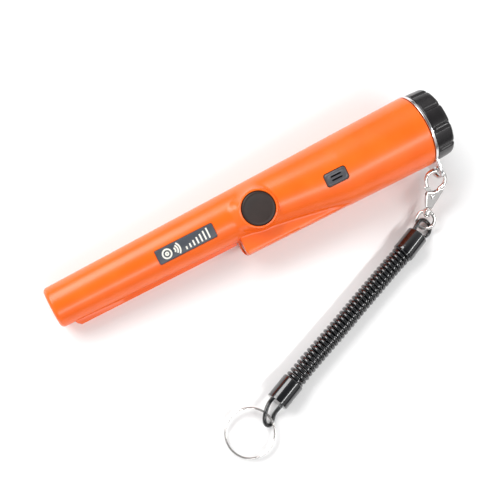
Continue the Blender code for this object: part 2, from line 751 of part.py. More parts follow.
def about_pin(radius):
    """Points of an arc about the gate's pin, over the hook's nose."""
    x, y = GATE_PIVOT
    return [(x + radius * math.cos(a), y + radius * math.sin(a)) for a in (math.radians(100 + 4 * i) for i in range(11))]


def clasp_hook():
    """Clasp body with its hook, a slot for the gate and the swivel post."""
    outline = [
        (5.2, -8.6),
        (5.4, -10.2),
        (4.3, -14.0),
        (2.5, -19.0),
        (1.9, -21.3),
        (-1.9, -21.3),
        (-2.7, -19.0),
        (-3.6, -14.2),
        (-3.3, -12.1),
        (0.4, -11.6),
        (2.2, -10.4),
        (3.0, -9.0),
    ]
    body = to_mesh(plate("clasp_hook", [outline], 1.5, "chrome", clasp))
    arc = [on_hook(-52 + 220 * i / 23) for i in range(24)]
    arc.insert(0, (2.6, -11.6, 0))
    hook = to_mesh(wire("hook_wire", arc, HOOK_WIRE, None, clasp))
    lying = (math.pi / 2, 0, 0)  # turns an object's Z into -Y
    post = turned(
        "swivel_post",
        [(0, 26.4), (1.3, 26.4), (1.9, 25.9), (1.9, 25.4), (1.1, 25.4), (1.1, 20.5), (0, 20.5)],
        None,
        clasp,
        rotation=lying,
        sides=16,
    )
    cut(hook, to_mesh(plate("nose_end", [about_pin(NOSE_REACH) + [(-9.0, -9.0), (-2.4, -7.0)]], 3, None, clasp)))
    add(body, hook, post)
    slot = [(-6.0, -11.0), (2.4, -11.0), (2.9, -14.4), (1.8, -16.3), (0.0, -16.9), (-2.0, -15.6), (-6.0, -13.0)]
    cut(body, to_mesh(plate("gate_slot", [slot], 0.8, None, clasp)))
    cut(body, rod("pin_hole", 0.95, -3, 3, None, clasp, (*GATE_PIVOT, 0), (0, 0, 0), sides=16))
    body.data.materials.append(MATERIALS["chrome"])
    return body


def clasp_gate():
    """Sprung gate: a round arm that closes the hook, on a flat tongue around the pin."""
    x, y = GATE_PIVOT
    arm = [on_hook(148), on_hook(160), on_hook(172), on_hook(186), on_hook(200), (-4.3, -8.6, 0), (-3.7, -9.9, 0)]
    eye = [(x + 1.9 * math.cos(a), y + 1.9 * math.sin(a)) for a in (math.radians(-120 + 24 * i) for i in range(11))]
    outline = [*eye, (-2.2, -9.4), (-4.0, -8.2), (-4.9, -9.2), (-5.4, -10.4), (-4.6, -11.4)]
    from_pin = (-x, -y, 0)
    gate = to_mesh(plate("clasp_gate", [outline], 0.5, "chrome", gate_axis, from_pin))
    arm_wire = to_mesh(wire("gate_arm", arm, 1.1, None, gate_axis, from_pin))
    tip_end = about_pin(NOSE_REACH - 0.3) + [(-12.0, -3.0), (-3.0, 4.0)]
    cut(arm_wire, to_mesh(plate("tip_end", [tip_end], 3, None, gate_axis, from_pin)))
    add(gate, arm_wire)
    cut(gate, rod("gate_eye", 0.95, -3, 3, None, gate_axis, rotation=(0, 0, 0), sides=16))
    gate.data.materials.append(MATERIALS["chrome"])
    rivet = [(0, 2.15), (0.8, 2.1), (1.3, 1.65), (0.8, 1.65), (0.8, -1.65), (1.3, -1.65), (0.8, -2.1), (0, -2.15)]
    turned("gate_pin", rivet, "chrome", gate_axis, sides=16)


def swivel_eye():
    """Ring that the cord's loop goes through, with the collar that turns on the clasp's post."""
    turns = 28
    loop = [
        (EYE_RADIUS * math.sin(2 * math.pi * i / turns), EYE_CENTRE_Y + EYE_RADIUS * math.cos(2 * math.pi * i / turns), 0)
        for i in range(turns)
    ]
    eye = to_mesh(wire("swivel_eye", loop, EYE_WIRE, "chrome", eye_axis, closed=True))
    lying = (math.pi / 2, 0, 0)
    add(eye, rod("eye_boss", 2.6, 22.1, 24.9, None, eye_axis, rotation=lying, sides=16))
    cut(eye, rod("eye_bore", 1.45, 20.0, 27.0, None, eye_axis, rotation=lying, sides=16))
    return eye


# ---------------------------------------------------------------- cord


def ferrule(name, ends):
    """Moulded end of the coiled cord, from its cord side to its coil side."""
    top, bottom = (Vector(p) for p in ends)
    axis = bottom - top
    length = axis.length
    turn = axis.to_track_quat("Z", "Y").to_euler()
    r = FERRULE_RADIUS
    profile = [(0, length), (r - 0.3, length), (r, length - 0.3), (r, 0.9), (r - 0.25, 0.25), (r - 0.9, 0), (0, 0)]
    return turned(name, profile, "cord_black", lanyard_axis, top - Vector(LANYARD_PIVOT), turn, sides=FINE)


def cord():
    """The coiled cord, its two ferrules and the two loops, lying on the floor."""
    home = -Vector(LANYARD_PIVOT)
    upper = ferrule("upper_ferrule", UPPER_FERRULE)
    lower = ferrule("lower_ferrule", LOWER_FERRULE)
    wire("curly_cord", smooth_route(COIL_ROUTE, 5.0), COIL_RADIUS, "cord_black", lanyard_axis, home, resolution=4)
    for name, points, holder in (("upper_loop", UPPER_LOOP, upper), ("lower_loop", LOWER_LOOP, lower)):
        wire(name, smooth_route(points, 1.6), CORD_RADIUS, "cord_black", lanyard_axis, home)
        for i, (end, inside) in enumerate(((points[0], points[1]), (points[-1], points[-2]))):
            out = (Vector(inside) - Vector(end)).normalized()
            axis = [Vector(end) - out * 0.5, Vector(end) + out * 8]
            cut(holder, to_mesh(wire(f"{name}_bore_{i}", axis, CORD_RADIUS + 0.3, None, lanyard_axis, home)))


def key_ring():
    """Split ring: nearly two turns of wire, with its raised side in the lower loop."""
    steps = 54
    start = math.radians(150)  # of the wire's first end, from the raised side
    points = []
    for i in range(steps + 1):
        turns = RING_TURNS * i / steps
        turn = start + 2 * math.pi * turns
        x, y = math.cos(turn) - 1, math.sin(turn)
        points.append((RING_RADIUS * x, RING_RADIUS * y, RING_PITCH * (turns - RING_TURNS / 2)))
    tilt = Matrix.Rotation(RING_DIRECTION, 4, "Z") @ Matrix.Rotation(-RING_TILT, 4, "Y")
    ring_axis = empty("ring_axis", lanyard_axis, Vector(RING_HINGE) - Vector(LANYARD_PIVOT), tilt.to_euler())
    wire("key_ring", points, RING_WIRE, "chrome", ring_axis)


body_shell()
casing_fittings()
button_set()
search_coils()
circuit()
vibration_motor()
sound()
power()
battery_cap()
lanyard_collar()
clasp_hook()
clasp_gate()
swivel_eye()
cord()
key_ring()
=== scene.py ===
"""Looks of the pinpointer probe and its curly lanyard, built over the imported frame.

Lengths are in millimetres in the probe's own frame (X along the grip, Z out through the button,
-Y out through the keel) unless a name says otherwise; they are scaled to metres as meshes are made.
"""

import json
import math

import bmesh
import bpy
import numpy as np
from mathutils import Matrix, Vector


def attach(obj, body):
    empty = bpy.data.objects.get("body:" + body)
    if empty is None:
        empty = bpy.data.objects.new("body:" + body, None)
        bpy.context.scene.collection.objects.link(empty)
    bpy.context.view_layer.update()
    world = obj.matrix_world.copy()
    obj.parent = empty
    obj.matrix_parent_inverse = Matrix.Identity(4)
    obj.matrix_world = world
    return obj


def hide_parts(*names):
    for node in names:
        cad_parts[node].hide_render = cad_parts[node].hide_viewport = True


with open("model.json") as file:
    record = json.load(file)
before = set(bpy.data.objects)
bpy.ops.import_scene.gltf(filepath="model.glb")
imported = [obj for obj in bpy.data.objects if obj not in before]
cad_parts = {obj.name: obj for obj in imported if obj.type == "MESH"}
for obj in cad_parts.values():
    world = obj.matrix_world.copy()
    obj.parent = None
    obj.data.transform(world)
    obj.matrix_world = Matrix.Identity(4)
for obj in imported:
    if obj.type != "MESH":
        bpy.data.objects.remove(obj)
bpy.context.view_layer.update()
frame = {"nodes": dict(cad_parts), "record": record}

MM = 0.001
TURN = 2 * math.pi

# The probe's shape, as in part.py
NOSE_RADIUS = 10.9
NOSE_FILLET = 2.2
NOSE_TAPER = 0.0225
BLOCK_X = 101.0
FLARE_END_X = 164.0
BODY_END_X = 214.0
BACK_START = 15.6
BACK_TAPER = 0.0205
KEEL_HALF = 8.0
BLADE_HALF = 1.25
BLADE_START_X = 7.6
LAMP_Y = -13.0
BUTTON_POS = (115.0, 3.7, 15.6)
BUTTON_TILT = math.radians(4)
BUTTON_RADIUS = 8.75
BOSS_RADIUS = 10.2
SPEAKER_POS = (158.3, 0.2, 18.3)
SPEAKER_TILT = math.radians(6)
SPEAKER_SIZE = (12.2, 6.9)
LABEL_X = (57.9, 90.3)
LABEL_HALF_ANGLE = math.radians(17.5)
NECK_BORE = 15.4
NECK_RADIUS = 16.9
NECK_END_X = 222.2
NECK_CREST = 17.8
CAP_CREST = 17.2
CAP_BORE = 18.1
THREAD_START_X = 217.3
WALL = 2.2
BUTTON_FLOOR = -3.0
THREAD_TURNS = 1.25
PITCH = 3.0
CAP_X = (216.1, 226.9)
CAP_RADIUS = 19.6
CAP_GROOVES = 10
CAP_GROOVE_PHASE = math.radians(6)
COLLAR_X = (214.3, 215.7)
COLLAR_RADIUS = 20.2
TAB_ANGLE = math.radians(8)
TAB_HOLE_RADIUS = 3.0
TAB_HOLE_DISTANCE = 24.6
HOOK_RADIUS = 5.3
HOOK_OFFSET = 0.45
CLASP_AXIS = Vector((-0.50, -0.695, -0.50)).normalized()
GATE_PIVOT = (0.4, -14.4)
NOSE_REACH = 12.5
SWIVEL_ROLL = math.radians(14)
EYE_CENTRE_Y = -28.4
EYE_RADIUS = 5.0

# How it lies, and the lanyard's places on the floor, as in part.py. The turns are this script's own:
# part.py has one solid tube for the coil.
REST_ROLL = math.radians(13.5)
CAD_SIDES = 40
MIDDLE = (113.5, -15.0)
FERRULE_RADIUS = 6.1
CORD_RADIUS = 1.1
COIL_RADIUS = 5.5
COIL_TURNS = 35
UPPER_FERRULE = ((192.2, -49.6, 6.2), (179.5, -54.7, 6.2))
LOWER_FERRULE = ((92.6, -86.2, 6.2), (79.4, -91.4, 6.2))
COIL_ROUTE = (
    (179.0, -54.9, 5.65),
    (168.2, -58.6, 5.65),
    (155.6, -63.2, 5.65),
    (142.9, -67.8, 5.65),
    (130.6, -72.4, 5.65),
    (118.2, -76.8, 5.65),
    (105.8, -81.2, 5.65),
    (93.1, -86.0, 5.65),
)
UPPER_LOOP = (
    (189.0, -47.75, 5.4),
    (191.6, -46.7, 5.5),
    (193.6, -45.3, 5.7),
    (196.6, -43.7, 5.5),
    (199.7, -43.5, 4.3),
    (202.0, -45.4, 2.7),
    (202.7, -48.8, 1.35),
    (200.4, -51.7, 1.35),
    (197.0, -52.4, 3.6),
    (193.9, -52.2, 5.2),
    (191.2, -53.2, 5.4),
)
LOWER_LOOP = (
    (80.8, -87.8, 5.4),
    (77.8, -88.9, 5.7),
    (74.9, -90.2, 6.6),
    (72.0, -92.6, 7.0),
    (69.6, -95.8, 6.0),
    (69.3, -98.9, 3.5),
    (71.3, -100.3, 1.6),
    (73.6, -98.9, 1.2),
    (75.8, -96.6, 1.6),
    (78.2, -95.1, 4.0),
    (80.3, -94.2, 5.2),
    (83.0, -93.2, 5.4),
)
RING_HINGE = (72.5, -96.0, 3.75)
RING_DIRECTION = math.radians(12)
RING_TILT = math.radians(4.0)
RING_TURNS = 1.92
RING_RADIUS = 12.85
RING_PITCH = 1.35
RING_WIRE = 0.62

# Camera, in metres and degrees
CAMERA_AT = (-0.118487, -0.042377, 0.499389)
CAMERA_TURN = (10.2847, -8.7909, -28.7256)
CAMERA_LENS = 68.72

# Studio
# The sky as pairs of (sine of height, brightness)
WORLD_LEVELS = ((0.08, 0.03), (0.3, 0.5), (0.6, 0.78), (0.82, 0.5), (0.94, 0.16))
KEY_WATTS = 12.0
STRIP_WATTS = 4.4


def back_line(x):
    return BACK_START + BACK_TAPER * x


def body_radius(x):
    """Radius of the casing's round section at x."""
    if x <= BLOCK_X:
        return NOSE_RADIUS + NOSE_TAPER * x
    if x >= FLARE_END_X:
        return back_line(x)
    start = NOSE_RADIUS + NOSE_TAPER * BLOCK_X
    part = (x - BLOCK_X) / (FLARE_END_X - BLOCK_X)
    return start + (back_line(FLARE_END_X) - start) * (0.75 * part + 0.25 * part * part)


def lowest(x):
    centre = back_line(x) - body_radius(x)
    return math.cos(math.pi / CAD_SIDES) * body_radius(x) - centre * math.sin(REST_ROLL)


REST_PITCH = math.atan((lowest(FLARE_END_X) - lowest(NOSE_FILLET)) / (FLARE_END_X - NOSE_FILLET))
REST_HEIGHT = lowest(NOSE_FILLET) * math.cos(REST_PITCH) - NOSE_FILLET * math.sin(REST_PITCH)

FLOOR_FRAME = Matrix.Translation(Vector((-MIDDLE[0], -MIDDLE[1], 0)) * MM)
PROBE_FRAME = (
    FLOOR_FRAME
    @ Matrix.Translation((0, 0, REST_HEIGHT * MM))
    @ Matrix.Rotation(-REST_PITCH, 4, "Y")
    @ Matrix.Rotation(REST_ROLL, 4, "X")
)
ALONG_X = Matrix.Rotation(math.pi / 2, 4, "Y")


def at(x=0.0, y=0.0, z=0.0):
    return Matrix.Translation(Vector((x, y, z)) * MM)


BUTTON_FRAME = PROBE_FRAME @ at(*BUTTON_POS) @ Matrix.Rotation(-BUTTON_TILT, 4, "Y")
SPEAKER_FRAME = PROBE_FRAME @ at(*SPEAKER_POS) @ Matrix.Rotation(-SPEAKER_TILT, 4, "Y")


def clasp_frame():
    """X level across the clasp, -Y down it and Z upwards, with the hook's top wire at the origin."""
    reach = Vector((0, -math.cos(TAB_ANGLE), math.sin(TAB_ANGLE))) * TAB_HOLE_DISTANCE
    origin = PROBE_FRAME @ ((Vector((sum(COLLAR_X) / 2 + HOOK_OFFSET, 0, 0)) + reach) * MM)
    across = CLASP_AXIS.cross(Vector((0, 0, 1))).normalized()
    if across.x < 0:
        across.negate()
    turn = Matrix((across, -CLASP_AXIS, across.cross(-CLASP_AXIS))).transposed()
    return Matrix.Translation(origin) @ turn.to_4x4()


CLASP_FRAME = clasp_frame()
GATE_FRAME = CLASP_FRAME @ at(*GATE_PIVOT)
EYE_FRAME = CLASP_FRAME @ Matrix.Rotation(-SWIVEL_ROLL, 4, "Y")


# ---------------------------------------------------------------- materials


def set_input(node, name, value):
    node.inputs[name].default_value = value


def material(name, colour, second, roughness, rough_spread=0.08, scale=900.0, bump=0.03, bump_scale=None,
             metallic=0.0, coat=0.0, coat_roughness=0.1, transmission=0.0, ior=1.5, subsurface=0.0,
             anisotropic=0.0):
    """Procedural material: two colours mixed by soft noise, with uneven roughness and a fine bump."""
    made = bpy.data.materials.new(name)
    made.use_nodes = True
    tree = made.node_tree
    shader = tree.nodes["Principled BSDF"]
    coords = tree.nodes.new("ShaderNodeTexCoord")
    broad = tree.nodes.new("ShaderNodeTexNoise")
    set_input(broad, "Scale", scale * 0.12)
    set_input(broad, "Detail", 4.0)
    tree.links.new(coords.outputs["Object"], broad.inputs["Vector"])
    ramp = tree.nodes.new("ShaderNodeValToRGB")
    ramp.color_ramp.elements[0].position = 0.35
    ramp.color_ramp.elements[1].position = 0.68
    ramp.color_ramp.elements[0].color = (*colour, 1)
    ramp.color_ramp.elements[1].color = (*second, 1)
    tree.links.new(broad.outputs["Fac"], ramp.inputs["Fac"])
    tree.links.new(ramp.outputs["Color"], shader.inputs["Base Color"])
    fine = tree.nodes.new("ShaderNodeTexNoise")
    set_input(fine, "Scale", bump_scale or scale)
    set_input(fine, "Detail", 3.0)
    tree.links.new(coords.outputs["Object"], fine.inputs["Vector"])
    spread = tree.nodes.new("ShaderNodeMapRange")
    set_input(spread, "To Min", max(0.02, roughness - rough_spread))
    set_input(spread, "To Max", min(1.0, roughness + rough_spread))
    tree.links.new(broad.outputs["Fac"], spread.inputs["Value"])
    tree.links.new(spread.outputs["Result"], shader.inputs["Roughness"])
    relief = tree.nodes.new("ShaderNodeBump")
    set_input(relief, "Strength", bump)
    set_input(relief, "Distance", 0.0004)
    tree.links.new(fine.outputs["Fac"], relief.inputs["Height"])
    tree.links.new(relief.outputs["Normal"], shader.inputs["Normal"])
    set_input(shader, "Metallic", metallic)
    set_input(shader, "Coat Weight", coat)
    set_input(shader, "Coat Roughness", coat_roughness)
    set_input(shader, "Transmission Weight", transmission)
    set_input(shader, "IOR", ior)
    set_input(shader, "Subsurface Weight", subsurface)
    set_input(shader, "Anisotropic", anisotropic)
    return made


LOOKS = {
    "orange_abs": material(
        "orange_abs_look", (0.93, 0.13, 0.006), (0.96, 0.15, 0.01), 0.3, 0.015, 500, 0.05, 2600
    ),
    "black_abs": material(
        "black_abs_look", (0.009, 0.008, 0.009), (0.016, 0.014, 0.015), 0.26, 0.05, 700, 0.05, 2200
    ),
    "button_black": material(
        "button_look", (0.016, 0.008, 0.006), (0.024, 0.012, 0.009), 0.5, 0.06, 900, 0.12, 3200
    ),
    "grille_grey": material(
        "grille_look", (0.06, 0.058, 0.066), (0.085, 0.083, 0.092), 0.34, 0.07, 900, 0.05, 2600
    ),
    "label_grey": material(
        "label_look", (0.05, 0.056, 0.07), (0.065, 0.072, 0.088), 0.42, 0.05, 900, 0.06, 4200
    ),
    "clear_lens": material(
        "lens_look", (0.62, 0.64, 0.68), (0.7, 0.72, 0.76), 0.05, 0.02, 700, 0.0, transmission=0.9
    ),
    "led_epoxy": material(
        "lamp_look", (0.95, 0.93, 0.8), (0.98, 0.96, 0.88), 0.12, 0.04, 700, 0.01, transmission=0.5
    ),
    "steel": material(
        "steel_look", (0.72, 0.72, 0.73), (0.82, 0.82, 0.82), 0.2, 0.06, 900, 0.04, metallic=1.0
    ),
    "chrome": material(
        "chrome_look", (0.72, 0.7, 0.69), (0.8, 0.78, 0.76), 0.07, 0.03, 900, 0.03, metallic=1.0
    ),
    "cord_black": material(
        "cord_look", (0.003, 0.0035, 0.0045), (0.006, 0.007, 0.0085), 0.13, 0.04, 900, 0.02, coat=0.9
    ),
    "rubber": material("rubber_look", (0.014, 0.014, 0.014), (0.024, 0.023, 0.022), 0.75, 0.08, 900, 0.1),
    "foam": material("foam_look", (0.03, 0.03, 0.033), (0.06, 0.06, 0.066), 0.95, 0.04, 1200, 0.7, 1500),
    "ferrite": material("ferrite_look", (0.04, 0.04, 0.045), (0.08, 0.08, 0.085), 0.55, 0.1, 900, 0.2),
    "copper": material(
        "copper_look", (0.6, 0.2, 0.07), (0.75, 0.28, 0.11), 0.32, 0.08, 1800, 0.4, metallic=1.0
    ),
    "former": material("former_look", (0.78, 0.76, 0.68), (0.84, 0.82, 0.75), 0.48, 0.06, 900, 0.06),
    "board": material("board_look", (0.008, 0.14, 0.04), (0.015, 0.2, 0.07), 0.4, 0.08, 1200, 0.12),
    "chip": material("chip_look", (0.02, 0.02, 0.02), (0.035, 0.035, 0.035), 0.5, 0.08, 1200, 0.1),
    "battery": material(
        "battery_look", (0.05, 0.05, 0.06), (0.09, 0.09, 0.1), 0.3, 0.08, 500, 0.04, metallic=0.4
    ),
    "red_wire": material("red_wire_look", (0.6, 0.02, 0.012), (0.7, 0.04, 0.025), 0.35, 0.06, 900, 0.04),
}


# ---------------------------------------------------------------- solids in millimetres


def shift(x=0.0, y=0.0, z=0.0):
    return Matrix.Translation((x, y, z))


def moved(solid, matrix):
    """A solid of (points, faces) placed by a matrix in mm."""
    points, faces = solid
    turn = np.array(matrix)
    return np.asarray(points, float) @ turn[:3, :3].T + turn[:3, 3], faces


def grid_faces(rows, columns, wrap_rows=False):
    """Quads over a grid whose columns close into a ring."""
    faces = []
    for i in range(rows if wrap_rows else rows - 1):
        j = (i + 1) % rows
        for k in range(columns):
            m = (k + 1) % columns
            faces.append((i * columns + k, i * columns + m, j * columns + m, j * columns + k))
    return faces


def lathe(profile, sides=96, closed=False):
    """A profile of (radius, height) turned about Z."""
    turn = TURN * np.arange(sides) / sides
    points = [(r * math.cos(a), r * math.sin(a), z) for r, z in profile for a in turn]
    return points, grid_faces(len(profile), sides, closed)


def rounded(profile, radius=0.3, steps=4, closed=False):
    """A profile with each corner replaced by a small bend."""
    points = [np.array(p, float) for p in profile]
    out = []
    count = len(points)
    for i, here in enumerate(points):
        if not closed and i in (0, count - 1):
            out.append(here)
            continue
        before, after = points[i - 1], points[(i + 1) % count]
        a, b = before - here, after - here
        la, lb = np.linalg.norm(a), np.linalg.norm(b)
        cut = min(radius, la * 0.45, lb * 0.45)
        p, q = here + a / la * cut, here + b / lb * cut
        for s in range(steps + 1):
            t = s / steps
            out.append((1 - t) ** 2 * p + 2 * t * (1 - t) * here + t * t * q)
    return [tuple(p) for p in out]


def smooth_route(points, step):
    """Points about step apart on a smooth curve through the given ones."""
    given = [Vector(p) for p in points]
    given = [2 * given[0] - given[1], *given, 2 * given[-1] - given[-2]]
    route = []
    for a, b, c, d in zip(given, given[1:], given[2:], given[3:]):
        count = max(1, round((c - b).length / step))
        for i in range(count):
            t = i / count
            bend = (2 * a - 5 * b + 4 * c - d) * t**2 + (3 * b - a - 3 * c + d) * t**3
            route.append(0.5 * (2 * b + (c - a) * t + bend))
    route.append(given[-2])
    return route


def normalised(v):
    return v / np.linalg.norm(v)


def bar(route, radius, sides=20, closed=False, rounding=0.0):
    """A round bar along a route, with its ends rounded over that length."""
    route = np.array([tuple(p) for p in route], float)
    if closed:
        tangent = np.roll(route, -1, axis=0) - np.roll(route, 1, axis=0)
    else:
        tangent = np.gradient(route, axis=0)
    tangent /= np.linalg.norm(tangent, axis=1)[:, None]
    aside = [normalised(np.cross(tangent[0], (0.31, 0.17, 0.94)))]
    for t in tangent[1:]:
        aside.append(normalised(aside[-1] - np.dot(aside[-1], t) * t))
    aside = np.array(aside)
    other = np.cross(tangent, aside)
    scale = np.ones(len(route))
    if closed:
        last = aside[-1] - np.dot(aside[-1], tangent[0]) * tangent[0]
        twist = math.atan2(np.dot(last, other[0]), np.dot(last, aside[0]))
        turn = -twist * np.arange(len(route))[:, None] / len(route)
        aside, other = (
            aside * np.cos(turn) + other * np.sin(turn),
            other * np.cos(turn) - aside * np.sin(turn),
        )
    else:
        bend = [(1 - math.cos(a), math.sin(a)) for a in np.linspace(0, math.pi / 2, 5)]
        share = rounding / radius
        first = [(0.0, 0.0), *((rounding * (1 - s), 1 - share * c) for c, s in reversed(bend))]
        count = len(first)
        spread = np.array([1 - share + share * s for s in np.sin(np.linspace(0, math.pi / 2, count - 1))])
        depth = rounding * (1 - np.cos(np.linspace(0, math.pi / 2, count - 1)))
        spread = np.concatenate([[0.0], spread])
        depth = np.concatenate([[0.0], depth])
        start = route[0] + tangent[0] * depth[:, None]
        end = (route[-1] - tangent[-1] * depth[:, None])[::-1]
        route = np.concatenate([start, route[1:-1], end])
        aside = np.concatenate([[aside[0]] * count, aside[1:-1], [aside[-1]] * count])
        other = np.concatenate([[other[0]] * count, other[1:-1], [other[-1]] * count])
        scale = np.concatenate([spread, scale[1:-1], spread[::-1]])
    around = TURN * np.arange(sides)[None, :, None] / sides
    rings = aside[:, None] * np.cos(around) + other[:, None] * np.sin(around)
    points = route[:, None] + rings * radius * scale[:, None, None]
    return points.reshape(-1, 3), grid_faces(len(route), sides, closed)


def slab(outline, half, edge=0.0):
    """A flat plate in XY of twice half's thickness, its edges rounded by about edge."""
    outline = np.array(outline, float)
    count = len(outline)
    along = np.roll(outline, -1, axis=0) - np.roll(outline, 1, axis=0)
    inward = np.stack([-along[:, 1], along[:, 0]], axis=1)
    inward /= np.linalg.norm(inward, axis=1)[:, None]
    area = np.sum(outline[:, 0] * np.roll(outline[:, 1], -1) - outline[:, 1] * np.roll(outline[:, 0], -1))
    inward *= np.sign(area)
    bends = [
        (edge * (1 - math.sin(a)), half - edge * (1 - math.cos(a)))
        for a in np.linspace(0, math.pi / 2, 4)
    ]
    levels = [(inset, z) for inset, z in bends] + [(inset, -z) for inset, z in reversed(bends)]
    if edge == 0:
        levels = [(0, half), (0, -half)]
    points = [(*(p + n * inset), z) for inset, z in levels for p, n in zip(outline, inward)]
    faces = grid_faces(len(levels), count)
    faces.append(tuple(range(count)))
    faces.append(tuple(range(len(points) - count, len(points))))
    return points, faces


def loft(outlines):
    """A closed solid through equally many points of several outlines."""
    count = len(outlines[0])
    points = [p for outline in outlines for p in outline]
    faces = grid_faces(len(outlines), count)
    faces.append(tuple(range(count)))
    faces.append(tuple(range(len(points) - count, len(points))))
    return points, faces


def rounded_box(half_x, half_y, corner, steps=8):
    """Outline of a rectangle with round corners."""
    outline = []
    for i, (sx, sy) in enumerate(((1, 1), (-1, 1), (-1, -1), (1, -1))):
        for k in range(steps + 1):
            a = math.pi / 2 * (i + k / steps)
            outline.append(
                (
                    sx * (half_x - corner) + corner * math.cos(a),
                    sy * (half_y - corner) + corner * math.sin(a)
                )
            )
    return outline


def scratch(*solids):
    """A throwaway object in millimetres that holds some solids."""
    points, faces = [], []
    for some, sides in solids:
        start = len(points)
        points.extend(tuple(map(float, p)) for p in some)
        faces.extend([start + v for v in face] for face in sides)
    mesh = bpy.data.meshes.new("scratch")
    mesh.from_pydata(points, [], faces)
    bm = bmesh.new()
    bm.from_mesh(mesh)
    bmesh.ops.remove_doubles(bm, verts=bm.verts, dist=1e-4)
    bmesh.ops.recalc_face_normals(bm, faces=bm.faces)
    bm.to_mesh(mesh)
    bm.free()
    obj = bpy.data.objects.new("scratch", mesh)
    bpy.context.scene.collection.objects.link(obj)
    return obj


def solid_of(obj, *helpers):
    """(points, faces) of a throwaway object after its modifiers; it and its helpers are removed."""
    bpy.context.view_layer.update()
    evaluated = obj.evaluated_get(bpy.context.evaluated_depsgraph_get())
    mesh = evaluated.to_mesh()
    points = np.empty(len(mesh.vertices) * 3)
    mesh.vertices.foreach_get("co", points)
    faces = [tuple(face.vertices) for face in mesh.polygons]
    evaluated.to_mesh_clear()
    for used in (obj, *helpers):
        data = used.data
        bpy.data.objects.remove(used)
        bpy.data.meshes.remove(data)
    return points.reshape(-1, 3), faces


def add_cuts(obj, holes):
    cutters = [scratch(hole) for hole in holes]
    for cutter in cutters:
        cut = obj.modifiers.new("cut", "BOOLEAN")
        cut.operation = "DIFFERENCE"
        cut.object = cutter
        cut.solver = "MANIFOLD"
    return cutters


def carved(solid, *holes):
    """A solid less the holes."""
    obj = scratch(solid)
    return solid_of(obj, *add_cuts(obj, holes))


def cast(solids, holes=(), voxel=0.12, soft=4):
    """Several solids run together as one casting, with soft edges."""
    obj = scratch(*solids)
    join = obj.modifiers.new("join", "REMESH")
    join.mode = "VOXEL"
    join.voxel_size = voxel
    cutters = add_cuts(obj, holes)
    if holes:
        even = obj.modifiers.new("even", "REMESH")
        even.mode = "VOXEL"
        even.voxel_size = voxel
    ease = obj.modifiers.new("ease", "SMOOTH")
    ease.factor = 0.5
    ease.iterations = soft
    return solid_of(obj, *cutters)


# ---------------------------------------------------------------- pieces


def new_object(name, data, look, body, replaces=()):
    obj = bpy.data.objects.new(name, data)
    bpy.context.scene.collection.objects.link(obj)
    data.materials.append(LOOKS[look])
    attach(obj, body)
    if replaces:
        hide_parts(*replaces)
    return obj


def piece(name, solid, look, body, frame_matrix, replaces=(), sharp=40.0):
    """A smooth-shaded piece from a solid in mm in the given frame."""
    points, faces = solid
    mesh = bpy.data.meshes.new(name)
    turn = np.array(frame_matrix)
    points = np.asarray(points, float) * MM @ turn[:3, :3].T + turn[:3, 3]
    mesh.from_pydata(points.tolist(), [], [list(map(int, face)) for face in faces])
    bm = bmesh.new()
    bm.from_mesh(mesh)
    bmesh.ops.remove_doubles(bm, verts=bm.verts, dist=2e-7)
    bmesh.ops.recalc_face_normals(bm, faces=bm.faces)
    bm.to_mesh(mesh)
    bm.free()
    mesh.shade_smooth()
    mesh.set_sharp_from_angle(angle=math.radians(sharp))
    return new_object(name, mesh, look, body, replaces)


# ---------------------------------------------------------------- casing


def soft_max(a, b, k):
    h = np.clip(0.5 + 0.5 * (a - b) / k, 0, 1)
    return b + (a - b) * h + k * h * (1 - h)


def soft_min(a, b, k):
    return -soft_max(-a, -b, k)


RADIUS_OF = np.vectorize(body_radius)


def nose_drop(x):
    """How far the rounded nose edge lies inside the nose tube."""
    inside = np.clip(NOSE_FILLET - x, 0, NOSE_FILLET)
    return NOSE_FILLET - np.sqrt(np.maximum(NOSE_FILLET**2 - inside**2, 0))


def slab_exit(component, offset):
    """Distance along a ray to the plane where component * distance = offset, if it heads there."""
    return np.where(component > 1e-4, offset / np.maximum(component, 1e-4), 1e3)


def keel_radius(x, c, s, centre):
    """Where a ray (c, s) in (Y, Z) from the section's centre leaves the keel."""
    outer = back_line(x) - np.clip((x - 150.0) / 24.0, 0, 1) ** 2 * 1.2
    half = KEEL_HALF
    along = centre * c
    arc = -along + np.sqrt(np.maximum(along**2 - centre**2 + outer**2, 0))
    side = slab_exit(np.abs(s), half)
    reach = soft_min(arc, side, 1.1)
    front = np.clip((x - BLOCK_X) / 1.3, 0, 1)
    reach = reach - 1.3 * (1 - np.sqrt(1 - (1 - front) ** 2))
    return np.where((c < 0) & (x >= BLOCK_X), reach, 0)


def blade_radius(x, c, s, centre):
    """Where the ray leaves the scraper fin under the nose."""
    low = 9.05 + 0.0115 * (x - BLADE_START_X)
    ramp = np.clip((x - BLADE_START_X) / 1.9, 0, 1)
    low = 7.2 + (low - 7.2) * ramp
    tip = slab_exit(-c, low + centre)
    side = slab_exit(np.abs(s), BLADE_HALF + 0.05)
    reach = soft_min(tip, side, 0.5)
    return np.where((c < 0) & (x > BLADE_START_X) & (x < BLOCK_X + 3), reach, 0)


